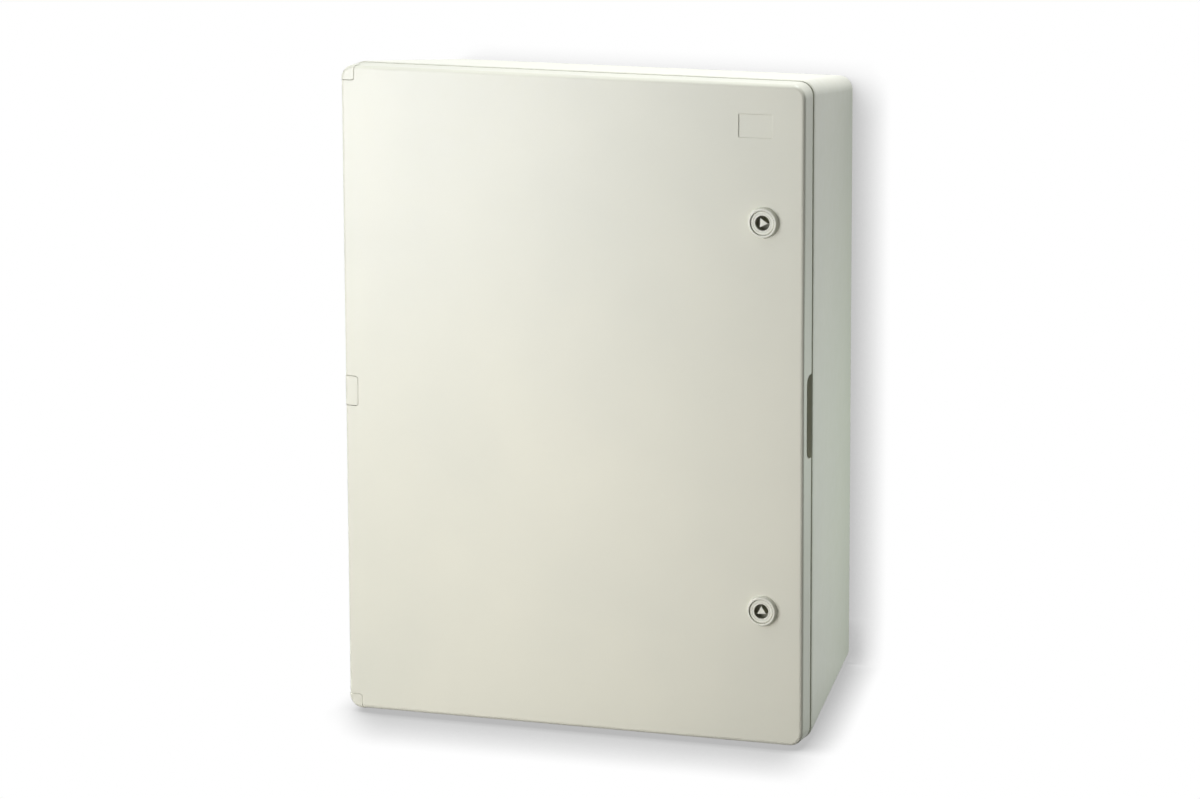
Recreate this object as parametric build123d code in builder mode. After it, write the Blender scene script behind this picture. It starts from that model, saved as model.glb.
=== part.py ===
from build123d import *
import os

os.makedirs("parts", exist_ok=True)

# Wall-mounted moulded enclosure with a hinged door and two quarter-turn locks.
# Millimetres. The origin is the centre of the wall face, x points to the right,
# y points into the wall and z points up, so the door faces minus y.

# Case
width = 585.0
height = 800.0
depth = 300.0
corner_radius = 17.0
draft_run = 30.0
rim_band = 6.0
wall = 4.0
back_edge_radius = 4.0
rim_edge_radius = 1.0
cavity_edge_radius = 3.0

# Door
door_depth = 32.0
door_wall = 4.0
door_inset = 0.5
door_edge_radius = 4.5
door_inner_radius = 2.0
skirt_edge_radius = 0.8
seam_gap = 3.5
rib_thickness = 2.0
rib_height = 7.0
rib_columns = 2
rib_rows = 6
rib_column_spacing = 220.0
rib_row_spacing = 125.0

# Front rim of the body and its sealing lip
rim_thickness = 4.0
lip_inset = 16.0
hinge_lip_inset = 37.0
lip_thickness = 3.0
lip_height = 21.0
lip_corner_radius = 12.0

# Foam gasket in its channel on the door
gasket_width = 10.0
gasket_edge_radius = 2.5
gasket_clearance = 0.3
channel_clearance = 0.2

# Hinges on the left edge
pin_from_left = 9.0
pin_from_front = 9.0
pin_diameter = 6.0
pin_running_clearance = 0.05
pin_fixed_clearance = 0.02
pin_head_diameter = 10.0
pin_head_height = 2.0
pin_head_clearance = 0.2
pin_grip = 10.0
pin_end_clearance = 0.3
knuckle_radius = 12.0
knuckle_edge_radius = 3.0
knuckle_side_gap = 0.4
knuckle_end_gap = 0.5
knuckle_arm_width = 16.5
corner_knuckle_height = 18.0
middle_knuckle_height = 36.0
ear_height = 22.0
ear_radius = 8.0

# Finger recess in the right skirt and bare label recess in the front
finger_recess_length = 102.0
finger_recess_depth = 19.0
finger_recess_radius = 12.0
label_width = 42.0
label_height = 28.0
label_from_right = 40.0
label_from_top = 37.0
label_depth = 0.8
label_corner_radius = 1.0

# Locks on the right side of the door
lock_from_right = 51.0
lock_from_middle = 235.0
upper_key_turn = -4.0
lower_key_turn = 93.0
lock_pad_radius = 21.0
lock_pad_height = 2.0
collar_diameter = 37.5
collar_height = 5.5
collar_edge_height = 1.2
collar_rim = 2.2
seal_groove_depth = 1.0
seal_groove_width = 2.3
seal_side_clearance = 0.1
barrel_diameter = 28.0
barrel_flats = 26.0
barrel_length = 28.0
barrel_clearance = 0.15
core_head_diameter = 28.5
core_head_height = 2.0
core_head_recess = 1.5
core_head_gap = 0.7
core_head_chamfer = 0.4
core_ring_diameter = 23.0
core_ring_width = 0.9
core_ring_depth = 0.3
core_diameter = 21.0
core_running_clearance = 0.08
core_end_play = 0.1
key_well_diameter = 18.0
key_well_depth = 11.0
key_triangle_height = 9.5
key_post_recess = 1.0
nut_across_flats = 34.0
nut_height = 6.0
nut_clearance = 0.05
nut_chamfer = 0.8
clip_diameter = 26.0
clip_thickness = 1.0
clip_groove_depth = 0.9
clip_clearance = 0.1
clip_mouth = 10.0
cam_gap = 1.5
cam_thickness = 3.0
cam_reach = 43.0
cam_hub_radius = 11.0
cam_tip_radius = 7.0
cam_square = 10.0
cam_square_clearance = 0.05
cam_square_recess = 0.2
lock_washer_diameter = 16.0
lock_washer_thickness = 1.5
lock_screw_diameter = 6.0
lock_screw_head = 10.0
lock_screw_head_height = 4.0
lock_screw_length = 15.0
screw_clearance = 0.1

# Mounting plate on four bosses
plate_side_margin = 30.0
plate_end_margin = 35.0
plate_thickness = 2.0
plate_corner_radius = 6.0
plate_hole_inset = 15.0
plate_hole_diameter = 7.0
boss_diameter = 20.0
boss_height = 24.0
insert_diameter = 9.0
insert_length = 12.0
insert_clearance = 0.02
plate_washer_diameter = 14.0
plate_washer_thickness = 1.2
plate_screw_diameter = 6.0
plate_screw_length = 12.0
plate_screw_head = 10.0
plate_screw_head_height = 4.0
plate_screw_socket = 5.0
plate_screw_socket_depth = 2.4

# Wall fixing holes in the back
fixing_hole_diameter = 8.5
fixing_side_inset = 22.5
fixing_end_inset = 25.0
fixing_pad_diameter = 22.0
fixing_pad_height = 3.0

# Slack with which edges are picked by their place
edge_pick_slack = 0.01

# Places worked out from the sizes above, as distances in front of the wall face
half_width = width / 2
half_height = height / 2
half_back_width = half_width - draft_run
half_back_height = half_height - draft_run
rim_depth = depth - door_depth - seam_gap
band_depth = rim_depth - rim_band
room_depth = rim_depth - rim_thickness
skirt_depth = depth - door_depth
panel_depth = depth - door_wall
lip_depth = rim_depth + lip_height
rib_depth = panel_depth - rib_height
arm_foot_depth = rim_depth - rim_edge_radius
gasket_depth = lip_depth + gasket_clearance
door_width = width - 2 * door_inset
door_height = height - 2 * door_inset
door_radius = corner_radius - door_inset

# Middle line of the sealing lip, which the gasket and its channel follow
seal_left = hinge_lip_inset + lip_thickness / 2 - half_width
seal_right = half_width - lip_inset - lip_thickness / 2
seal_centre_x = (seal_left + seal_right) / 2
seal_width = seal_right - seal_left
seal_height = height - 2 * lip_inset - lip_thickness
seal_radius = lip_corner_radius - lip_thickness / 2
channel_inside = gasket_width / 2 + channel_clearance
channel_outside = channel_inside + rib_thickness

# Hinge line, knuckles on the body and the door's ears beside them
pin_x = pin_from_left - half_width
pin_depth = depth - pin_from_front
pin_line = Axis((pin_x, -pin_depth, 0), (0, 0, 1))
pin_bore = pin_diameter / 2 + pin_running_clearance
pin_seat = pin_diameter / 2 + pin_fixed_clearance
corner_knuckle_end = half_height - corner_knuckle_height
middle_knuckle_end = middle_knuckle_height / 2
knuckle_spans = [
    (-half_height, -corner_knuckle_end),
    (-middle_knuckle_end, middle_knuckle_end),
    (corner_knuckle_end, half_height),
]
corner_ear_end = corner_knuckle_end - knuckle_end_gap
middle_ear_end = middle_knuckle_end + knuckle_end_gap
ear_starts = [
    -corner_ear_end,
    -middle_ear_end - ear_height,
    middle_ear_end,
    corner_ear_end - ear_height,
]
corner_pin_foot = corner_ear_end - ear_height
corner_pin_tip = corner_knuckle_end + pin_grip
middle_pin_end = middle_ear_end + ear_height
pin_pocket_depth = pin_head_height + pin_head_clearance

# Hinge pins: name, ends of the shank, foot of the head, foot of the pocket that takes the head
hinge_pins = [
    ("top", corner_pin_foot, corner_pin_tip, corner_pin_foot, corner_pin_foot),
    (
        "middle",
        -middle_pin_end,
        middle_pin_end,
        middle_pin_end - pin_head_height,
        middle_pin_end - pin_pocket_depth,
    ),
    (
        "bottom",
        -corner_pin_tip,
        -corner_pin_foot,
        -corner_pin_foot - pin_head_height,
        -corner_pin_foot - pin_pocket_depth,
    ),
]

# Lock stack, with depths again in front of the wall face
lock_x = half_width - lock_from_right
collar_top = depth + collar_height
core_top = collar_top - core_head_recess
core_shoulder = core_top - core_head_height
counterbore_floor = core_shoulder - core_end_play
counterbore_radius = core_head_diameter / 2 + core_head_gap
barrel_end = depth - barrel_length
pad_depth = panel_depth - lock_pad_height
cam_front = room_depth - cam_gap
cam_back = cam_front - cam_thickness
core_tip = cam_back + cam_square_recess
well_floor = core_top - key_well_depth
clip_front = barrel_end - clip_clearance
clip_back = clip_front - clip_thickness
key_triangle_radius = key_triangle_height * 2 / 3
core_ring_outer = core_ring_diameter / 2
core_ring_inner = core_ring_outer - core_ring_width
locks = [
    ("upper", lock_from_middle, upper_key_turn),
    ("lower", -lock_from_middle, lower_key_turn),
]

# Mounting plate stack
boss_depth = wall + boss_height
plate_front = boss_depth + plate_thickness
plate_washer_front = plate_front + plate_washer_thickness
plate_width = 2 * (half_back_width - plate_side_margin)
plate_height = 2 * (half_back_height - plate_end_margin)
plate_hole_spacing_x = plate_width - 2 * plate_hole_inset
plate_hole_spacing_z = plate_height - 2 * plate_hole_inset
insert_bore = plate_screw_diameter / 2 + screw_clearance

# Spacing of the wall fixing holes
fixing_spacing_x = 2 * (half_back_width - fixing_side_inset)
fixing_spacing_z = 2 * (half_back_height - fixing_end_inset)

# Planes of the body's profiles, both with the distance from the wall along their x
side_plane = Plane.YZ
plan_plane = Plane(origin=(0, 0, 0), x_dir=(0, 1, 0), z_dir=(0, 0, -1))


def at_depth(distance):
    """Plane parallel to the wall, that far in front of it."""
    return Plane.XZ.offset(distance)


def edges_at_depth(piece, distance):
    """Edges of a piece that lie in the plane that far in front of the wall."""
    nearest = -distance + edge_pick_slack
    furthest = -distance - edge_pick_slack
    return piece.edges().filter_by_position(Axis.Y, furthest, nearest)


def drafted_profile(plane, front, foot, front_half, foot_half):
    """Profile that draws in from its front to its foot, with the wall at the middle of its plane."""
    with BuildSketch(plane) as profile:
        with BuildLine():
            Polyline(
                (-front, -front_half),
                (-front, front_half),
                (-foot, foot_half),
                (-foot, -foot_half),
                close=True,
            )
        make_face()
    return profile.sketch


def lock_plane(middle_z, distance):
    """Plane across a lock's axis, that far in front of the wall."""
    return Plane(origin=(lock_x, -distance, middle_z), x_dir=(1, 0, 0), z_dir=(0, -1, 0))


def lock_section(middle_z):
    """Plane through a lock's axis: radius along x, distance from the wall along y."""
    return Plane(origin=(lock_x, 0, middle_z), x_dir=(1, 0, 0), z_dir=(0, 0, -1))


def lock_axis(middle_z):
    """Line that a lock turns about."""
    return Axis((lock_x, 0, middle_z), (0, -1, 0))


def seal_loop(grow, mode=Mode.ADD):
    """Rounded loop at a distance outside the lip's middle line."""
    with Locations((seal_centre_x, 0)):
        RectangleRounded(seal_width + 2 * grow, seal_height + 2 * grow, seal_radius + grow, mode=mode)


# Outer form of the closed case, which trims the hinge knuckles flush
with BuildPart() as case_form:
    with BuildSketch(at_depth(0)):
        RectangleRounded(width, height, corner_radius)
    extrude(amount=depth)
    fillet(case_form.edges().group_by(Axis.Y)[0], door_edge_radius)

# Hinge knuckles with the arms that carry them from the rim
with BuildPart() as knuckles:
    for low, high in knuckle_spans:
        with BuildSketch(at_depth(pin_depth)) as knuckle_profile:
            with Locations((pin_x, low)):
                Rectangle(knuckle_radius, high - low, align=(Align.MIN, Align.MIN))
            inner_corners = knuckle_profile.vertices().group_by(Axis.X)[-1]
            inner_corners = inner_corners.filter_by(lambda corner: abs(corner.Y) < half_height)
            fillet(inner_corners, knuckle_edge_radius)
        revolve(axis=pin_line)
        with BuildSketch(Plane.XY.offset(low)):
            with Locations((-half_width, -pin_depth)):
                Rectangle(knuckle_arm_width, pin_depth - arm_foot_depth, align=(Align.MIN, Align.MIN))
        extrude(amount=high - low)
    add(case_form.part, mode=Mode.INTERSECT)

# Room around the knuckles that is cut out of the door
with BuildPart() as knuckle_room:
    for low, high in knuckle_spans:
        room_low = low - knuckle_end_gap
        room_high = high + knuckle_end_gap
        with BuildSketch(at_depth(pin_depth)) as room_profile:
            with Locations((pin_x, room_low)):
                Rectangle(
                    knuckle_radius + knuckle_side_gap,
                    room_high - room_low,
                    align=(Align.MIN, Align.MIN),
                )
            room_corners = room_profile.vertices().group_by(Axis.X)[-1]
            room_corners = room_corners.filter_by(lambda corner: abs(corner.Y) < half_height)
            fillet(room_corners, knuckle_edge_radius)
        revolve(axis=pin_line)
        with BuildSketch(Plane.XY.offset(room_low)):
            with Locations((-width, -pin_depth)):
                Rectangle(
                    half_width + knuckle_arm_width + knuckle_end_gap,
                    door_depth,
                    align=(Align.MIN, Align.MIN),
                )
        extrude(amount=room_high - room_low)

# Room inside the body, with the same draft as its outside
with BuildPart() as body_room:
    side_profile = drafted_profile(
        side_plane, room_depth, wall, half_height - wall, half_back_height - wall
    )
    extrude(side_profile, amount=half_width, both=True)
    plan_profile = drafted_profile(
        plan_plane, room_depth, wall, half_width - wall, half_back_width - wall
    )
    extrude(plan_profile, amount=half_height, both=True, mode=Mode.INTERSECT)
    fillet(body_room.edges().group_by(Axis.Y)[1], corner_radius - wall)
    fillet(body_room.edges().group_by(Axis.Y)[-1], cavity_edge_radius)

# Body: one moulded shell that draws in towards the wall behind a straight band at the rim,
# with the sealing lip, bosses, fixing pads and knuckles
with BuildPart() as body_shell:
    side_profile = drafted_profile(side_plane, band_depth, 0, half_height, half_back_height)
    extrude(side_profile, amount=half_width, both=True)
    plan_profile = drafted_profile(plan_plane, band_depth, 0, half_width, half_back_width)
    extrude(plan_profile, amount=half_height, both=True, mode=Mode.INTERSECT)
    fillet(body_shell.edges().group_by(Axis.Y)[1], corner_radius)
    extrude(body_shell.faces().sort_by(Axis.Y)[0], amount=rim_band)
    fillet(body_shell.edges().group_by(Axis.Y)[-1], back_edge_radius)
    fillet(edges_at_depth(body_shell, rim_depth), rim_edge_radius)
    add(body_room.part, mode=Mode.SUBTRACT)
    with BuildSketch(at_depth(room_depth)):
        seal_loop(-lip_thickness / 2)
    extrude(amount=rim_thickness, mode=Mode.SUBTRACT)
    with BuildSketch(at_depth(rim_depth)):
        seal_loop(lip_thickness / 2)
        seal_loop(-lip_thickness / 2, mode=Mode.SUBTRACT)
    extrude(amount=lip_height)
    with BuildSketch(at_depth(wall)):
        with GridLocations(plate_hole_spacing_x, plate_hole_spacing_z, 2, 2):
            Circle(boss_diameter / 2)
    extrude(amount=boss_height)
    with BuildSketch(at_depth(boss_depth)):
        with GridLocations(plate_hole_spacing_x, plate_hole_spacing_z, 2, 2):
            Circle(insert_diameter / 2 + insert_clearance)
    extrude(amount=-insert_length, mode=Mode.SUBTRACT)
    with BuildSketch(at_depth(wall)):
        with GridLocations(fixing_spacing_x, fixing_spacing_z, 2, 2):
            Circle(fixing_pad_diameter / 2)
    extrude(amount=fixing_pad_height)
    with BuildSketch(at_depth(0)):
        with GridLocations(fixing_spacing_x, fixing_spacing_z, 2, 2):
            Circle(fixing_hole_diameter / 2)
    extrude(amount=wall + fixing_pad_height, mode=Mode.SUBTRACT)
    add(knuckles.part)
    with BuildSketch(Plane.XY.offset(-corner_pin_tip - pin_end_clearance)):
        with Locations((pin_x, -pin_depth)):
            Circle(pin_seat)
    extrude(amount=2 * (corner_pin_tip + pin_end_clearance), mode=Mode.SUBTRACT)
body_shell.part.label = "body_shell"
export_step(body_shell.part, "parts/body_shell.step")

# Door: panel with a skirt, gasket channel, ribs, lock pads and hinge ears
with BuildPart() as door:
    with BuildSketch(at_depth(skirt_depth)):
        RectangleRounded(door_width, door_height, door_radius)
    extrude(amount=door_depth)
    fillet(door.edges().group_by(Axis.Y)[0], door_edge_radius)
    fillet(edges_at_depth(door, skirt_depth), skirt_edge_radius)
    with BuildSketch(at_depth(skirt_depth)):
        RectangleRounded(
            door_width - 2 * door_wall,
            door_height - 2 * door_wall,
            door_radius - door_wall,
        )
    extrude(amount=door_depth - door_wall, mode=Mode.SUBTRACT)
    fillet(edges_at_depth(door, panel_depth), door_inner_radius)
    with BuildSketch(at_depth(rib_depth)):
        seal_loop(channel_outside)
        seal_loop(channel_inside, mode=Mode.SUBTRACT)
        seal_loop(-channel_inside)
        seal_loop(-channel_outside, mode=Mode.SUBTRACT)
        with Locations((seal_centre_x, 0)):
            with GridLocations(rib_column_spacing, 0, rib_columns, 1):
                Rectangle(rib_thickness, seal_height - 2 * channel_outside)
            with GridLocations(0, rib_row_spacing, 1, rib_rows):
                Rectangle(seal_width - 2 * channel_outside, rib_thickness)
    extrude(amount=rib_height)
    with BuildSketch(at_depth(pad_depth)):
        with Locations((lock_x, lock_from_middle), (lock_x, -lock_from_middle)):
            Circle(lock_pad_radius)
    extrude(amount=lock_pad_height)
    for ear_start in ear_starts:
        with BuildSketch(Plane.XY.offset(ear_start)):
            with Locations((pin_x, -pin_depth)):
                Circle(ear_radius)
                Rectangle(ear_radius, pin_from_front - door_wall, align=(Align.MIN, Align.MAX))
                Rectangle(
                    pin_from_left - door_inset - door_wall,
                    ear_radius + pin_from_front - door_wall,
                    align=(Align.MAX, Align.CENTER),
                )
        extrude(amount=ear_height)
    add(knuckle_room.part, mode=Mode.SUBTRACT)
    with BuildSketch(Plane.XY.offset(-half_height)):
        with Locations((pin_x, -pin_depth)):
            Circle(pin_bore)
    extrude(amount=height, mode=Mode.SUBTRACT)
    for pin_name, shank_low, shank_high, head_low, pocket_low in hinge_pins:
        with BuildSketch(Plane.XY.offset(pocket_low)):
            with Locations((pin_x, -pin_depth)):
                Circle(pin_head_diameter / 2 + pin_head_clearance)
        extrude(amount=pin_pocket_depth, mode=Mode.SUBTRACT)
    with BuildSketch(at_depth(pad_depth)):
        with Locations((lock_x, lock_from_middle), (lock_x, -lock_from_middle)):
            Circle(barrel_diameter / 2 + barrel_clearance)
            Rectangle(
                barrel_diameter + 2 * barrel_clearance,
                barrel_flats + 2 * barrel_clearance,
                mode=Mode.INTERSECT,
            )
    extrude(amount=depth - pad_depth, mode=Mode.SUBTRACT)
    with BuildSketch(Plane.YZ.offset(half_width - door_inset - door_wall)) as finger_profile:
        with Locations((-skirt_depth, 0)):
            Rectangle(finger_recess_depth, finger_recess_length, align=(Align.MAX, Align.CENTER))
        fillet(finger_profile.vertices().group_by(Axis.X)[0], finger_recess_radius)
    extrude(amount=door_wall, mode=Mode.SUBTRACT)
    with BuildSketch(at_depth(depth - label_depth)):
        with Locations((half_width - label_from_right, half_height - label_from_top)):
            RectangleRounded(
                label_width,
                label_height,
                label_corner_radius,
                align=(Align.MAX, Align.MAX),
            )
    extrude(amount=label_depth, mode=Mode.SUBTRACT)
door.part.label = "door"
export_step(door.part, "parts/door.step")

# Gasket: one foam bead in the door's channel, facing the lip
with BuildPart() as door_gasket:
    with BuildSketch(at_depth(gasket_depth)):
        seal_loop(gasket_width / 2)
        seal_loop(-gasket_width / 2, mode=Mode.SUBTRACT)
    extrude(amount=panel_depth - gasket_depth)
    fillet(door_gasket.edges().group_by(Axis.Y)[-1], gasket_edge_radius)
door_gasket.part.label = "door_gasket"
export_step(door_gasket.part, "parts/door_gasket.step")

# Hinge pins: a shank through the ears and the knuckle, with a head sunk in an ear
for pin_name, shank_low, shank_high, head_low, pocket_low in hinge_pins:
    with BuildPart() as hinge_pin:
        with BuildSketch(Plane.XY.offset(shank_low)):
            with Locations((pin_x, -pin_depth)):
                Circle(pin_diameter / 2)
        extrude(amount=shank_high - shank_low)
        with BuildSketch(Plane.XY.offset(head_low)):
            with Locations((pin_x, -pin_depth)):
                Circle(pin_head_diameter / 2)
        extrude(amount=pin_head_height)
    hinge_pin.part.label = f"hinge_pin_{pin_name}"
    export_step(hinge_pin.part, f"parts/hinge_pin_{pin_name}.step")

# Locks: the same pieces twice, with the key triangle turned as each one stands
for lock_name, lock_z, key_turn in locks:
    # Collar and barrel in one piece, clamped on the door
    with BuildPart() as lock_collar:
        with BuildSketch(lock_section(lock_z)):
            with BuildLine():
                Polyline(
                    (core_diameter / 2 + core_running_clearance, barrel_end),
                    (barrel_diameter / 2, barrel_end),
                    (barrel_diameter / 2, depth + seal_groove_depth),
                    (barrel_diameter / 2 + seal_groove_width, depth + seal_groove_depth),
                    (barrel_diameter / 2 + seal_groove_width, depth),
                    (collar_diameter / 2, depth),
                    (collar_diameter / 2, depth + collar_edge_height),
                    (counterbore_radius + collar_rim, collar_top),
                    (counterbore_radius, collar_top),
                    (counterbore_radius, counterbore_floor),
                    (core_diameter / 2 + core_running_clearance, counterbore_floor),
                    close=True,
                )
            make_face()
        revolve(axis=lock_axis(lock_z))
        with BuildSketch(lock_plane(lock_z, barrel_end)):
            Rectangle(collar_diameter, collar_diameter)
            Rectangle(collar_diameter, barrel_flats, mode=Mode.SUBTRACT)
        extrude(amount=barrel_length, mode=Mode.SUBTRACT)
    lock_collar.part.label = f"{lock_name}_lock_collar"
    export_step(lock_collar.part, f"parts/{lock_name}_lock_collar.step")

    # Flat ring that seals the collar on the door
    with BuildPart() as lock_seal:
        with BuildSketch(lock_plane(lock_z, depth)):
            Circle(barrel_diameter / 2 + seal_groove_width - seal_side_clearance)
            Circle(barrel_diameter / 2 + seal_side_clearance, mode=Mode.SUBTRACT)
        extrude(amount=seal_groove_depth)
    lock_seal.part.label = f"{lock_name}_lock_seal"
    export_step(lock_seal.part, f"parts/{lock_name}_lock_seal.step")

    # Nut behind the door
    with BuildPart() as lock_nut:
        with BuildSketch(lock_plane(lock_z, pad_depth - nut_height)):
            RegularPolygon(nut_across_flats / 2, 6, major_radius=False)
        extrude(amount=nut_height)
        chamfer(lock_nut.edges().group_by(Axis.Y)[-1], nut_chamfer)
        with BuildSketch(lock_plane(lock_z, pad_depth - nut_height)):
            Circle(barrel_diameter / 2 + nut_clearance)
        extrude(amount=nut_height, mode=Mode.SUBTRACT)
    lock_nut.part.label = f"{lock_name}_lock_nut"
    export_step(lock_nut.part, f"parts/{lock_name}_lock_nut.step")

    # Turning core with the key well, the clip groove and the square end for the cam
    with BuildPart() as lock_core:
        with BuildSketch(lock_section(lock_z)):
            with BuildLine():
                Polyline(
                    (0, cam_front),
                    (core_diameter / 2, cam_front),
                    (core_diameter / 2, clip_back - clip_clearance),
                    (core_diameter / 2 - clip_groove_depth, clip_back - clip_clearance),
                    (core_diameter / 2 - clip_groove_depth, clip_front + clip_clearance),
                    (core_diameter / 2, clip_front + clip_clearance),
                    (core_diameter / 2, core_shoulder),
                    (core_head_diameter / 2, core_shoulder),
                    (core_head_diameter / 2, core_top - core_head_chamfer),
                    (core_head_diameter / 2 - core_head_chamfer, core_top),
                    (core_ring_outer, core_top),
                    (core_ring_outer, core_top - core_ring_depth),
                    (core_ring_inner, core_top - core_ring_depth),
                    (core_ring_inner, core_top),
                    (key_well_diameter / 2, core_top),
                    (key_well_diameter / 2, well_floor),
                    (0, well_floor),
                    close=True,
                )
            make_face()
        revolve(axis=lock_axis(lock_z))
        with BuildSketch(lock_plane(lock_z, well_floor)):
            RegularPolygon(key_triangle_radius, 3, rotation=key_turn)
        extrude(amount=key_well_depth - key_post_recess)
        with BuildSketch(lock_plane(lock_z, core_tip)):
            Rectangle(cam_square, cam_square)
        extrude(amount=cam_front - core_tip)
        with BuildSketch(lock_plane(lock_z, cam_back)):
            Circle(lock_screw_diameter / 2 + screw_clearance)
        extrude(amount=lock_screw_length, mode=Mode.SUBTRACT)
    lock_core.part.label = f"{lock_name}_lock_core"
    export_step(lock_core.part, f"parts/{lock_name}_lock_core.step")

    # Open clip that keeps the core in the barrel
    with BuildPart() as lock_clip:
        with BuildSketch(lock_plane(lock_z, clip_back)):
            Circle(clip_diameter / 2)
            Circle(core_diameter / 2 - clip_groove_depth + clip_clearance, mode=Mode.SUBTRACT)
            Rectangle(
                clip_mouth,
                clip_diameter,
                align=(Align.CENTER, Align.MIN),
                mode=Mode.SUBTRACT,
            )
        extrude(amount=clip_thickness)
    lock_clip.part.label = f"{lock_name}_lock_clip"
    export_step(lock_clip.part, f"parts/{lock_name}_lock_clip.step")

    # Cam that hangs down when unlocked and turns behind the rim
    with BuildPart() as lock_cam:
        with BuildSketch(lock_plane(lock_z, cam_back)):
            Circle(cam_hub_radius)
            with Locations((0, cam_tip_radius - cam_reach)):
                Circle(cam_tip_radius)
            make_hull()
            Rectangle(
                cam_square + 2 * cam_square_clearance,
                cam_square + 2 * cam_square_clearance,
                mode=Mode.SUBTRACT,
            )
        extrude(amount=cam_thickness)
    lock_cam.part.label = f"{lock_name}_lock_cam"
    export_step(lock_cam.part, f"parts/{lock_name}_lock_cam.step")

    # Washer and screw that hold the cam
    with BuildPart() as lock_washer:
        with BuildSketch(lock_plane(lock_z, cam_back - lock_washer_thickness)):
            Circle(lock_washer_diameter / 2)
            Circle(lock_screw_diameter / 2 + screw_clearance, mode=Mode.SUBTRACT)
        extrude(amount=lock_washer_thickness)
    lock_washer.part.label = f"{lock_name}_lock_washer"
    export_step(lock_washer.part, f"parts/{lock_name}_lock_washer.step")

    with BuildPart() as lock_screw:
        with BuildSketch(lock_plane(lock_z, cam_back - lock_washer_thickness)):
            Circle(lock_screw_diameter / 2)
        extrude(amount=lock_screw_length)
        with BuildSketch(lock_plane(lock_z, cam_back - lock_washer_thickness)):
            RegularPolygon(lock_screw_head / 2, 6, major_radius=False)
        extrude(amount=-lock_screw_head_height)
    lock_screw.part.label = f"{lock_name}_lock_screw"
    export_step(lock_screw.part, f"parts/{lock_name}_lock_screw.step")

# Threaded inserts in the bosses
with BuildPart() as threaded_inserts:
    with BuildSketch(at_depth(boss_depth)):
        with GridLocations(plate_hole_spacing_x, plate_hole_spacing_z, 2, 2):
            Circle(insert_diameter / 2)
            Circle(insert_bore, mode=Mode.SUBTRACT)
    extrude(amount=-insert_length)
threaded_inserts.part.label = "threaded_inserts"
export_step(threaded_inserts.part, "parts/threaded_inserts.step")

# Mounting plate for the devices
with BuildPart() as mounting_plate:
    with BuildSketch(at_depth(boss_depth)):
        RectangleRounded(plate_width, plate_height, plate_corner_radius)
        with GridLocations(plate_hole_spacing_x, plate_hole_spacing_z, 2, 2):
            Circle(plate_hole_diameter / 2, mode=Mode.SUBTRACT)
    extrude(amount=plate_thickness)
mounting_plate.part.label = "mounting_plate"
export_step(mounting_plate.part, "parts/mounting_plate.step")

# Washers and screws of the mounting plate
with BuildPart() as plate_washers:
    with BuildSketch(at_depth(plate_front)):
        with GridLocations(plate_hole_spacing_x, plate_hole_spacing_z, 2, 2):
            Circle(plate_washer_diameter / 2)
            Circle(insert_bore, mode=Mode.SUBTRACT)
    extrude(amount=plate_washer_thickness)
plate_washers.part.label = "plate_washers"
export_step(plate_washers.part, "parts/plate_washers.step")

with BuildPart() as plate_screws:
    with BuildSketch(at_depth(plate_washer_front)):
        with GridLocations(plate_hole_spacing_x, plate_hole_spacing_z, 2, 2):
            Circle(plate_screw_diameter / 2)
    extrude(amount=-plate_screw_length)
    with BuildSketch(at_depth(plate_washer_front)):
        with GridLocations(plate_hole_spacing_x, plate_hole_spacing_z, 2, 2):
            Circle(plate_screw_head / 2)
    extrude(amount=plate_screw_head_height)
    with BuildSketch(at_depth(plate_washer_front + plate_screw_head_height)):
        with GridLocations(plate_hole_spacing_x, plate_hole_spacing_z, 2, 2):
            RegularPolygon(plate_screw_socket / 2, 6, major_radius=False)
    extrude(amount=-plate_screw_socket_depth, mode=Mode.SUBTRACT)
plate_screws.part.label = "plate_screws"
export_step(plate_screws.part, "parts/plate_screws.step")
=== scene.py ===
import math
import bmesh
import bpy
from mathutils import Matrix, Vector


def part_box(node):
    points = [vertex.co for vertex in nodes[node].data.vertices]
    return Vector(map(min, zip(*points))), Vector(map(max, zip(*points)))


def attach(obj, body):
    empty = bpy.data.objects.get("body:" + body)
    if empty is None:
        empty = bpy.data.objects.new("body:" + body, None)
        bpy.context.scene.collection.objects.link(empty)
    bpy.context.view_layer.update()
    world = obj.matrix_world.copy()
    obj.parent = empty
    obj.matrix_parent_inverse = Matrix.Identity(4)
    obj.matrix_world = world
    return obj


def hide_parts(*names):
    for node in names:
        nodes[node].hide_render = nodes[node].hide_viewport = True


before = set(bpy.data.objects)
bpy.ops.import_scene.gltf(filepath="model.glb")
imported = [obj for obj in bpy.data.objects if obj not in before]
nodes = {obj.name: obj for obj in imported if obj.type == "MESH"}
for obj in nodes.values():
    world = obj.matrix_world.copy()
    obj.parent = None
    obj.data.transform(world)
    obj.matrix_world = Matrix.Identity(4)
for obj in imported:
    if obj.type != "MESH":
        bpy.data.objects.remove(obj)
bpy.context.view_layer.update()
scene = bpy.context.scene
bpy.ops.object.select_all(action="DESELECT")

# Metres, in the frame of the CAD: x to the right, y into the wall, z up, the door faces minus y
mm = 0.001
quarter_turn = math.pi / 2

# Camera, as the photograph was taken: from the right of the door and a little above it
camera_place = Vector((1.949, -5.780, 1.209))
camera_turn = math.radians(19.232)
camera_tilt = math.radians(-11.676)
camera_roll = math.radians(-0.218)
camera_lens = 148.4
sensor_width = 36.0

# Stage: a white wall behind the case, a ledge that follows its underside and the ledge's front face
case_low, case_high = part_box("body_shell")
sheet_width = 6.0
wall_height = 3.0
stage_gap = 1.0 * mm
draft_run = 30.0 * mm
draft_length = 258.5 * mm
ledge_overhang = 10.0 * mm
wall_y = case_high.y + stage_gap
wall_foot = case_low.z + draft_run - stage_gap
ledge_front = case_low.y - ledge_overhang

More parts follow.
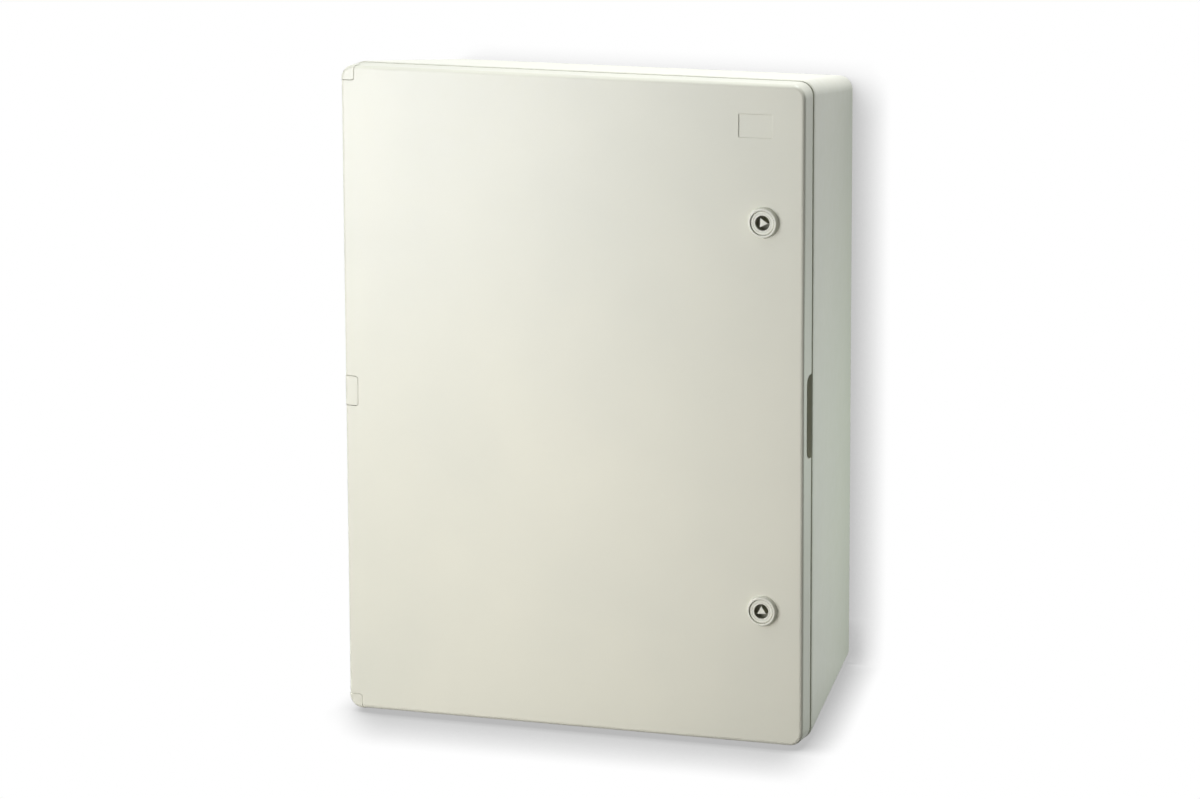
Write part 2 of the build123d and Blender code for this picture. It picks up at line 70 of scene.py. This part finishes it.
# Soft shadow on the stage, from the share of the view that the case leaves open
shadow_reach = 50.0 * mm
shadow_depth = 0.52
shadow_samples = 16
open_share_darkest = 0.35
open_share_clear = 0.94

# Direction of that view: leftwards and upwards, forwards on the wall and backwards at the ledge's front,
# and steeper in a band above the wall's foot and on the ledge
view_left = -0.48
view_back = 0.60
view_up = 0.66
view_up_foot = 1.30
foot_band = 60.0 * mm

# Corner of wall and ledge, where the case fills less of the view and the shadow is deepened to match
corner_deepening = 2.4
corner_rise = 55.0 * mm
corner_run = 10.0 * mm

# Lamps: name, place, the point they face, width, power and colour
lamps = [
    ("key_light", (-0.98, -1.84, 0.27), (0.0, -0.3, 0.0), 1.0, 27.4, (0.915, 0.930, 1.0)),
    ("front_top_light", (-0.5, -1.2, 1.8), (0.0, -0.3, 0.2), 0.8, 7.0, (0.95, 0.97, 1.0)),
    ("low_fill", (-0.22, -1.1, -0.32), (-0.05, -0.3, -0.15), 0.5, 1.5, (1.0, 0.90, 0.78)),
    ("top_light", (0.5, 0.08, 2.2), (0.05, -0.15, 0.4), 0.6, 35.0, (0.92, 0.95, 1.0)),
    ("side_fill", (0.80, 0.25, -0.12), (0.29, -0.13, -0.10), 0.3, 1.55, (0.82, 1.0, 0.89)),
    ("back_fill", (-0.8, 2.6, 1.2), (0.0, 0.0, 0.0), 1.6, 18.0, (1.0, 1.0, 1.0)),
]
ambient_light = 0.12

# Tones of the finishes
plain_white = (1.0, 1.0, 1.0, 1.0)
ivory = (0.735, 0.728, 0.602, 1.0)
ivory_shaded = (0.705, 0.702, 0.585, 1.0)
warm_ivory = (0.820, 0.818, 0.700, 1.0)
warm_ivory_shaded = (0.790, 0.789, 0.678, 1.0)
# Painted shade for the inside of the lock's key wells, darker than the lock plastic
key_well_painted_shade = (0.330, 0.325, 0.240, 1.0)
foam_black = (0.022, 0.022, 0.023, 1.0)
foam_grey = (0.055, 0.055, 0.056, 1.0)
rubber_black = (0.016, 0.016, 0.017, 1.0)
rubber_bloom = (0.040, 0.040, 0.042, 1.0)
zinc_bright = (0.45, 0.46, 0.46, 1.0)
zinc_dull = (0.34, 0.35, 0.35, 1.0)
blue_zinc_bright = (0.33, 0.355, 0.39, 1.0)
blue_zinc_dull = (0.24, 0.26, 0.29, 1.0)
spangle_light = (0.50, 0.52, 0.53, 1.0)
spangle_dark = (0.37, 0.39, 0.41, 1.0)
brass_bright = (0.72, 0.55, 0.27, 1.0)
brass_dull = (0.55, 0.40, 0.18, 1.0)

# Roughness of the finishes, from their glossiest to their dullest spots
case_gloss = (0.30, 0.38)
lock_gloss = (0.28, 0.36)
foam_gloss = (0.72, 0.95)
rubber_gloss = (0.45, 0.65)
zinc_gloss = (0.24, 0.44)
spangle_gloss = (0.48, 0.64)
brass_gloss = (0.22, 0.40)

# Grain of the moulded skins and tool marks in the zinc along x, y and z, in spots to the metre
case_grain = 1400.0
lock_grain = 2200.0
fastener_marks = (900.0, 200.0, 900.0)
turned_marks = (200.0, 200.0, 2600.0)
stamped_marks = (1500.0, 400.0, 120.0)

# Locks, with painted shade inside the key well in the core of each
lock_names = ("upper", "lower")
key_well_radius = 9.0 * mm
key_well_margin = 0.2 * mm
key_well_top = -302.7 * mm
key_well_foot = -292.5 * mm

# Foam bead on the door: its section, the cuts along its long edges and the waves of its crown,
# with the rim's angle in radians and the angle for smooth shading in degrees
bead_low, bead_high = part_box("door_gasket")
bead_width = 10.0 * mm
bead_corner_radius = 15.5 * mm
bead_corner_steps = 10
bead_crown_gap = 0.6 * mm
bead_crown_radius = 4.2 * mm
bead_crown_steps = 6
bead_level_slack = 0.1 * mm
bead_rim_angle = 1.0
bead_long_edge = 0.1
bead_run_cuts = 110
bead_wave = 0.7 * mm
bead_wave_size = 26.0 * mm
bead_smooth_angle = 60

# Thread on the lock barrels
thread_pitch = 1.5 * mm
thread_height = 0.45 * mm
thread_root = 13.95 * mm
thread_flat = 12.98 * mm
thread_start = -287.0 * mm
thread_turns = 9
thread_steps = 56
thread_smooth_angle = 25


def new_material(name):
    """Empty node material with one surface shader."""
    material = bpy.data.materials.new(name)
    material.use_nodes = True
    tree = material.node_tree
    return material, tree, tree.nodes["Principled BSDF"]


def add_node(tree, kind, **values):
    """Node of a kind, with its properties and unlinked inputs set by name."""
    node = tree.nodes.new(kind)
    for name, value in values.items():
        if name in node.bl_rna.properties:
            setattr(node, name, value)
        else:
            node.inputs[name.replace("_", " ")].default_value = value
    return node


def calculate(tree, operation, first, second):
    """One sum on two values, each a socket or a number."""
    node = add_node(tree, "ShaderNodeMath", operation=operation)
    for socket, value in zip(node.inputs, (first, second)):
        if isinstance(value, (int, float)):
            socket.default_value = value
        else:
            tree.links.new(value, socket)
    return node.outputs[0]


def noise(tree, place, scale, detail=3.0):
    """Soft random pattern with about that many spots to the metre."""
    node = add_node(tree, "ShaderNodeTexNoise", Scale=scale, Detail=detail)
    tree.links.new(place, node.inputs["Vector"])
    return node.outputs["Fac"]


def spread(tree, value, low=0.0, high=1.0, start=0.3, end=0.7):
    """Value that goes from low to high while the given one goes from start to end."""
    node = add_node(tree, "ShaderNodeMapRange", To_Min=low, To_Max=high, From_Min=start, From_Max=end)
    tree.links.new(value, node.inputs["Value"])
    return node.outputs["Result"]


def two_tone(tree, value, first, second):
    """Colour that runs from the first tone to the second, each a socket or a tone."""
    node = add_node(tree, "ShaderNodeMix", data_type="RGBA")
    tree.links.new(value, node.inputs["Factor"])
    tones = [socket for socket in node.inputs if socket.type == "RGBA"]
    for socket, tone in zip(tones, (first, second)):
        if isinstance(tone, tuple):
            socket.default_value = tone
        else:
            tree.links.new(tone, socket)
    return next(socket for socket in node.outputs if socket.type == "RGBA")


def object_place(tree):
    """Place on the piece, in metres."""
    return add_node(tree, "ShaderNodeTexCoord").outputs["Object"]


def roughen(tree, shader, height, depth, strength, edge=0.0):
    """Fine relief of a surface, with its sharp edges eased where an edge radius is given."""
    relief = add_node(tree, "ShaderNodeBump", Strength=strength, Distance=depth)
    tree.links.new(height, relief.inputs["Height"])
    if edge:
        eased = add_node(tree, "ShaderNodeBevel", samples=4, Radius=edge)
        tree.links.new(eased.outputs["Normal"], relief.inputs["Normal"])
    tree.links.new(relief.outputs["Normal"], shader.inputs["Normal"])


def lock_centre(lock_name):
    """Middle of a lock's collar, on the axis it turns about."""
    low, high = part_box(f"{lock_name}_lock_collar")
    return (low + high) / 2


def moulded_plastic(name, tone, shaded_tone, gloss, grain):
    """Satin moulded plastic: slow drift of tone, uneven gloss and a fine eroded skin."""
    material, tree, shader = new_material(name)
    place = object_place(tree)
    drift = spread(tree, noise(tree, place, scale=7.0, detail=2.0))
    colour = two_tone(tree, drift, tone, shaded_tone)
    tree.links.new(colour, shader.inputs["Base Color"])
    tree.links.new(spread(tree, noise(tree, place, scale=60.0), *gloss), shader.inputs["Roughness"])
    skin = noise(tree, place, scale=grain, detail=4.0)
    roughen(tree, shader, skin, depth=0.05 * mm, strength=0.25, edge=1.0 * mm)
    return material, tree, shader, place, colour


def case_plastic():
    """Light ivory plastic of the body and the door."""
    return moulded_plastic("case_plastic", ivory, ivory_shaded, case_gloss, case_grain)[0]


def lock_plastic():
    """Smoother, slightly warmer plastic of the collars and nuts."""
    return moulded_plastic("lock_plastic", warm_ivory, warm_ivory_shaded, lock_gloss, lock_grain)[0]


def lock_core_plastic_painted_well(lock_name):
    """Lock plastic with painted shade inside its key well, round the light key post."""
    material, tree, shader, place, colour = moulded_plastic(
        f"{lock_name}_lock_core_plastic_painted_well", warm_ivory, warm_ivory_shaded, lock_gloss, lock_grain
    )
    centre = lock_centre(lock_name)
    # Painted shade: the key well's walls and floor are darkened within the well's radius and between its
    # top and foot
    parts = add_node(tree, "ShaderNodeSeparateXYZ")
    tree.links.new(place, parts.inputs[0])
    across = calculate(tree, "SUBTRACT", parts.outputs["X"], centre.x)
    along = calculate(tree, "SUBTRACT", parts.outputs["Z"], centre.z)
    squares = calculate(
        tree, "ADD", calculate(tree, "MULTIPLY", across, across), calculate(tree, "MULTIPLY", along, along)
    )
    from_axis = calculate(tree, "SQRT", squares, 0.0)
    inside = calculate(tree, "LESS_THAN", from_axis, key_well_radius + key_well_margin)
    below_top = calculate(tree, "GREATER_THAN", parts.outputs["Y"], key_well_top)
    above_foot = calculate(tree, "LESS_THAN", parts.outputs["Y"], key_well_foot)
    well_shade_mask = calculate(tree, "MULTIPLY", calculate(tree, "MULTIPLY", inside, below_top), above_foot)
    tree.links.new(two_tone(tree, well_shade_mask, colour, key_well_painted_shade), shader.inputs["Base Color"])
    return material


def gasket_foam():
    """Dark foam with a closed skin, small pores and a matt bloom."""
    material, tree, shader = new_material("gasket_foam")
    place = object_place(tree)
    pores = add_node(tree, "ShaderNodeTexVoronoi", Scale=1100.0)
    tree.links.new(place, pores.inputs["Vector"])
    bloom = spread(tree, noise(tree, place, scale=90.0))
    tree.links.new(two_tone(tree, bloom, foam_black, foam_grey), shader.inputs["Base Color"])
    tree.links.new(spread(tree, noise(tree, place, scale=300.0), *foam_gloss), shader.inputs["Roughness"])
    roughen(tree, shader, pores.outputs["Distance"], depth=0.3 * mm, strength=0.6)
    shader.inputs["Specular IOR Level"].default_value = 0.3
    return material


def seal_rubber():
    """Black rubber with a faint grey bloom."""
    material, tree, shader = new_material("seal_rubber")
    place = object_place(tree)
    bloom = spread(tree, noise(tree, place, scale=200.0))
    tree.links.new(two_tone(tree, bloom, rubber_black, rubber_bloom), shader.inputs["Base Color"])
    tree.links.new(spread(tree, noise(tree, place, scale=700.0), *rubber_gloss), shader.inputs["Roughness"])
    roughen(tree, shader, noise(tree, place, scale=2500.0), depth=0.03 * mm, strength=0.3)
    return material


def zinc_plated(name, bright, dull, marks):
    """Zinc-plated steel: clouded plating, with fine marks that a tool left in one direction."""
    material, tree, shader = new_material(name)
    place = object_place(tree)
    clouds = spread(tree, noise(tree, place, scale=140.0))
    tree.links.new(two_tone(tree, clouds, bright, dull), shader.inputs["Base Color"])
    stretched = add_node(tree, "ShaderNodeMapping", Scale=marks)
    tree.links.new(place, stretched.inputs["Vector"])
    lines = noise(tree, stretched.outputs["Vector"], scale=1.0, detail=5.0)
    tree.links.new(spread(tree, lines, *zinc_gloss), shader.inputs["Roughness"])
    roughen(tree, shader, lines, depth=0.03 * mm, strength=0.35, edge=0.25 * mm)
    shader.inputs["Metallic"].default_value = 1.0
    return material


def galvanised_sheet():
    """Hot-dip galvanised sheet: broad crystal spangle with soft borders and uneven gloss."""
    material, tree, shader = new_material("galvanised_sheet")
    place = object_place(tree)
    bend = add_node(tree, "ShaderNodeTexNoise", Scale=70.0, Detail=3.0)
    tree.links.new(place, bend.inputs["Vector"])
    bent = add_node(tree, "ShaderNodeMixRGB", blend_type="ADD", Fac=0.006)
    tree.links.new(place, bent.inputs["Color1"])
    tree.links.new(bend.outputs["Color"], bent.inputs["Color2"])
    crystals = add_node(tree, "ShaderNodeTexVoronoi", Scale=95.0)
    tree.links.new(bent.outputs["Color"], crystals.inputs["Vector"])
    shade = add_node(tree, "ShaderNodeSeparateColor")
    tree.links.new(crystals.outputs["Color"], shade.inputs[0])
    spangle = two_tone(tree, shade.outputs["Red"], spangle_light, spangle_dark)
    tree.links.new(spangle, shader.inputs["Base Color"])
    gloss = spread(tree, shade.outputs["Green"], *spangle_gloss, start=0.0, end=1.0)
    tree.links.new(gloss, shader.inputs["Roughness"])
    roughen(tree, shader, noise(tree, place, scale=900.0), depth=0.03 * mm, strength=0.3, edge=0.3 * mm)
    shader.inputs["Metallic"].default_value = 1.0
    return material


def turned_brass():
    """Brass with fine marks from turning and a dull film in places."""
    material, tree, shader = new_material("turned_brass")
    place = object_place(tree)
    film = spread(tree, noise(tree, place, scale=260.0))
    tree.links.new(two_tone(tree, film, brass_bright, brass_dull), shader.inputs["Base Color"])
    marks = noise(tree, place, scale=3000.0, detail=2.0)
    tree.links.new(spread(tree, marks, *brass_gloss), shader.inputs["Roughness"])
    roughen(tree, shader, marks, depth=0.02 * mm, strength=0.3, edge=0.25 * mm)
    shader.inputs["Metallic"].default_value = 1.0
    return material


def stage_white():
    """Plain white of the stage, darker close to the case, and clear from behind."""
    material, tree, shader = new_material("stage_white")
    tree.nodes.remove(shader)
    parts = add_node(tree, "ShaderNodeSeparateXYZ")
    tree.links.new(object_place(tree), parts.inputs[0])
    direction = add_node(tree, "ShaderNodeCombineXYZ", X=view_left)
    lean = spread(tree, parts.outputs["Y"], view_back, -view_back, ledge_front, wall_y)
    rise = spread(tree, parts.outputs["Z"], view_up_foot, view_up, wall_foot, wall_foot + foot_band)
    tree.links.new(lean, direction.inputs["Y"])
    tree.links.new(rise, direction.inputs["Z"])
    view = add_node(tree, "ShaderNodeAmbientOcclusion", samples=shadow_samples, Distance=shadow_reach)
    tree.links.new(direction.outputs[0], view.inputs["Normal"])
    white = add_node(tree, "ShaderNodeEmission")
    darkest = 1.0 - shadow_depth
    level = spread(tree, view.outputs["AO"], darkest, 1.0, open_share_darkest, open_share_clear)
    near_wall = spread(tree, parts.outputs["Y"], 0.0, corner_deepening, wall_y - corner_run, wall_y)
    near_foot = spread(tree, parts.outputs["Z"], 1.0, 0.0, wall_foot, wall_foot + corner_rise)
    corner = calculate(tree, "MULTIPLY", near_wall, near_foot)
    shade = calculate(tree, "SUBTRACT", 1.0, level)
    deeper = calculate(tree, "MULTIPLY", corner, calculate(tree, "MULTIPLY", shade, shade))
    level = calculate(tree, "MAXIMUM", calculate(tree, "SUBTRACT", level, deeper), darkest)
    tree.links.new(level, white.inputs["Strength"])
    behind = add_node(tree, "ShaderNodeNewGeometry")
    clear = add_node(tree, "ShaderNodeBsdfTransparent")
    choice = add_node(tree, "ShaderNodeMixShader")
    tree.links.new(behind.outputs["Backfacing"], choice.inputs["Fac"])
    tree.links.new(white.outputs[0], choice.inputs[1])
    tree.links.new(clear.outputs[0], choice.inputs[2])
    tree.links.new(choice.outputs[0], tree.nodes["Material Output"].inputs["Surface"])
    return material


def set_finish(node_names, material):
    """Gives CAD nodes one material."""
    for name in node_names:
        slots = nodes[name].data.materials
        slots.clear()
        slots.append(material)


def start_edit(name):
    """Names the new primitive, sets its place in its mesh and opens it for editing."""
    piece = bpy.context.object
    piece.name = name
    bpy.ops.object.transform_apply(location=True, rotation=True, scale=True)
    bpy.ops.object.mode_set(mode="EDIT")
    return piece


def pick_edges(piece, wanted):
    """Selects only the edges that a test picks."""
    bpy.ops.mesh.select_mode(type="EDGE")
    bpy.ops.mesh.select_all(action="DESELECT")
    shape = bmesh.from_edit_mesh(piece.data)
    for edge in shape.edges:
        edge.select_set(wanted(edge))
    bmesh.update_edit_mesh(piece.data)


def finish_piece(piece, material, body, smooth_angle):
    """Closes editing, smooths the faces and ties the piece to its body."""
    bpy.ops.mesh.select_all(action="SELECT")
    bpy.ops.mesh.normals_make_consistent(inside=False)
    bpy.ops.object.mode_set(mode="OBJECT")
    bpy.ops.object.shade_smooth_by_angle(angle=math.radians(smooth_angle))
    piece.data.materials.append(material)
    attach(piece, body)
    bpy.ops.object.select_all(action="DESELECT")


def make_foam_bead(material):
    """Foam bead in the door's channel, with a soft crown that runs a little unevenly."""
    base = bead_low.y
    crown = bead_high.y - bead_crown_gap
    middle = (bead_low + bead_high) / 2
    size = bead_high - bead_low

    # Ring with rounded corners, raised to the crown
    bpy.ops.mesh.primitive_plane_add(
        size=1.0, location=(middle.x, base, middle.z), rotation=(quarter_turn, 0.0, 0.0)
    )
    bpy.context.object.scale = (size.x, size.z, 1.0)
    bead = start_edit("foam_bead")
    bpy.ops.mesh.select_all(action="SELECT")
    bpy.ops.mesh.bevel(offset=bead_corner_radius, segments=bead_corner_steps, affect="VERTICES")
    bpy.ops.mesh.select_all(action="SELECT")
    bpy.ops.mesh.inset(thickness=bead_width)
    bpy.ops.mesh.delete(type="FACE")
    bpy.ops.mesh.select_all(action="SELECT")
    bpy.ops.mesh.extrude_region_move(TRANSFORM_OT_translate={"value": (0.0, crown - base, 0.0)})
    bpy.ops.mesh.select_all(action="SELECT")
    bpy.ops.mesh.normals_make_consistent(inside=False)

    def crown_rim(edge):
        level = all(abs(vertex.co.y - crown) < bead_level_slack for vertex in edge.verts)
        return level and len(edge.link_faces) == 2 and edge.calc_face_angle() > bead_rim_angle

    # Rounded crown, with its long edges cut up for the waves
    pick_edges(bead, crown_rim)
    bpy.ops.mesh.bevel(offset=bead_crown_radius, segments=bead_crown_steps, affect="EDGES")
    pick_edges(bead, lambda edge: edge.calc_length() > bead_long_edge)
    bpy.ops.mesh.subdivide(number_cuts=bead_run_cuts)

    # Waves on the upper half only, so that the foot stays in its channel
    bpy.ops.mesh.select_mode(type="VERT")
    bpy.ops.mesh.select_all(action="DESELECT")
    shape = bmesh.from_edit_mesh(bead.data)
    for vertex in shape.verts:
        vertex.select_set(vertex.co.y > (base + crown) / 2)
    bmesh.update_edit_mesh(bead.data)
    bpy.ops.object.vertex_group_assign_new()
    bpy.ops.object.mode_set(mode="OBJECT")
    unevenness = bpy.data.textures.new("foam_unevenness", "CLOUDS")
    unevenness.noise_scale = bead_wave_size
    wave = bead.modifiers.new("wave", "DISPLACE")
    wave.texture = unevenness
    wave.texture_coords = "LOCAL"
    wave.strength = bead_wave
    wave.vertex_group = bead.vertex_groups[0].name
    bpy.ops.object.modifier_apply(modifier="wave")
    bpy.ops.object.mode_set(mode="EDIT")
    finish_piece(bead, material, "door_leaf", bead_smooth_angle)
    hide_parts("door_gasket")


def make_barrel_thread(lock_name, material):
    """Thread that runs along a lock's barrel behind its nut, cut off at the barrel's flats."""
    centre = lock_centre(lock_name)

    # Four-sided section, set off to the barrel's radius and wound along its axis
    bpy.ops.mesh.primitive_circle_add(
        vertices=4, radius=thread_height, location=(centre.x, thread_start, centre.z)
    )
    thread = bpy.context.object
    bpy.ops.object.mode_set(mode="EDIT")
    bpy.ops.mesh.select_all(action="SELECT")
    bpy.ops.transform.translate(value=(thread_root, 0.0, 0.0))
    bpy.ops.object.mode_set(mode="OBJECT")
    winding = thread.modifiers.new("winding", "SCREW")
    winding.axis = "Y"
    winding.screw_offset = thread_pitch
    winding.iterations = thread_turns
    winding.steps = thread_steps
    winding.render_steps = thread_steps
    winding.use_merge_vertices = True
    bpy.ops.object.modifier_apply(modifier="winding")

    # Flats above and below, then the open ends closed
    start_edit(f"{lock_name}_lock_barrel_thread")
    for side in (-1.0, 1.0):
        bpy.ops.mesh.select_all(action="SELECT")
        bpy.ops.mesh.bisect(
            plane_co=(centre.x, 0.0, centre.z + side * thread_flat),
            plane_no=(0.0, 0.0, side),
            use_fill=True,
            clear_outer=True,
        )
    bpy.ops.mesh.select_mode(type="EDGE")
    bpy.ops.mesh.select_all(action="DESELECT")
    bpy.ops.mesh.select_non_manifold()
    bpy.ops.mesh.edge_face_add()
    finish_piece(thread, material, "door_leaf", thread_smooth_angle)


def make_camera():
    """Camera at the photograph's viewing angle."""
    data = bpy.data.cameras.new("photo_camera")
    data.lens = camera_lens
    data.sensor_width = sensor_width
    camera = bpy.data.objects.new("photo_camera", data)
    turn = Matrix.Rotation(camera_turn, 4, "Z") @ Matrix.Rotation(quarter_turn + camera_tilt, 4, "X")
    camera.matrix_world = Matrix.Translation(camera_place) @ turn @ Matrix.Rotation(camera_roll, 4, "Z")
    scene.collection.objects.link(camera)
    scene.camera = camera


def make_lamps():
    """Soft boxes round the object."""
    for name, place, target, width, power, colour in lamps:
        data = bpy.data.lights.new(name, "AREA")
        data.size = width
        data.energy = power
        data.color = colour
        lamp = bpy.data.objects.new(name, data)
        lamp.location = place
        lamp.rotation_euler = (Vector(target) - Vector(place)).to_track_quat("-Z", "Y").to_euler()
        scene.collection.objects.link(lamp)


def make_world():
    """White to the eye and in reflections, and a plain soft light on the object."""
    world = bpy.data.worlds.new("studio")
    scene.world = world
    world.use_nodes = True
    tree = world.node_tree
    rays = add_node(tree, "ShaderNodeLightPath").outputs
    seen = calculate(tree, "MAXIMUM", rays["Is Camera Ray"], rays["Is Transmission Ray"])
    seen = calculate(tree, "MAXIMUM", seen, rays["Is Glossy Ray"])
    level = spread(tree, seen, ambient_light, 1.0, start=0.0, end=1.0)
    tree.links.new(level, tree.nodes["Background"].inputs["Strength"])
    tree.nodes["Background"].inputs["Color"].default_value = plain_white


def make_stage():
    """White wall, ledge and ledge front, which show the case's soft shadow and send it no diffuse light."""
    slope = math.atan2(draft_run, draft_length)
    ledge_depth = wall_y - ledge_front
    front_top = wall_foot - ledge_depth * math.tan(slope)
    ledge_middle = (0.0, (wall_y + ledge_front) / 2, (wall_foot + front_top) / 2)
    white = stage_white()
    for name, middle, turn, length in (
        ("white_wall", (0.0, wall_y, wall_foot + wall_height / 2), quarter_turn, wall_height),
        ("white_ledge", ledge_middle, slope, ledge_depth / math.cos(slope)),
        ("white_ledge_front", (0.0, ledge_front, front_top - wall_height / 2), quarter_turn, wall_height),
    ):
        bpy.ops.mesh.primitive_plane_add(size=1.0, location=middle, rotation=(turn, 0.0, 0.0))
        sheet = bpy.context.object
        sheet.name = name
        sheet.scale = (sheet_width, length, 1.0)
        bpy.ops.object.transform_apply(location=True, rotation=True, scale=True)
        sheet.data.materials.append(white)
        sheet.visible_diffuse = False
        sheet.visible_shadow = False
        bpy.ops.object.select_all(action="DESELECT")


# Finishes of the CAD nodes, and the pieces that are made here
foam = gasket_foam()
lock_finish = lock_plastic()
fastener_zinc = zinc_plated("fastener_zinc", blue_zinc_bright, blue_zinc_dull, fastener_marks)
set_finish(["body_shell", "door"], case_plastic())
set_finish(["door_gasket"], foam)
set_finish(["mounting_plate"], galvanised_sheet())
set_finish(["threaded_inserts"], turned_brass())
set_finish(["plate_washers", "plate_screws"], fastener_zinc)
turned_zinc = zinc_plated("turned_zinc", zinc_bright, zinc_dull, turned_marks)
set_finish(["hinge_pin_top", "hinge_pin_middle", "hinge_pin_bottom"], turned_zinc)
stamped_zinc = zinc_plated("stamped_zinc", zinc_bright, zinc_dull, stamped_marks)
black_rubber = seal_rubber()
for lock_name in lock_names:
    set_finish([f"{lock_name}_lock_collar", f"{lock_name}_lock_nut"], lock_finish)
    set_finish([f"{lock_name}_lock_core"], lock_core_plastic_painted_well(lock_name))
    set_finish([f"{lock_name}_lock_seal"], black_rubber)
    set_finish([f"{lock_name}_lock_cam"], stamped_zinc)
    set_finish([f"{lock_name}_lock_{piece}" for piece in ("clip", "washer", "screw")], fastener_zinc)
    make_barrel_thread(lock_name, lock_finish)
make_foam_bead(foam)

make_camera()
make_lamps()
make_world()
make_stage()
scene.view_settings.view_transform = "Standard"
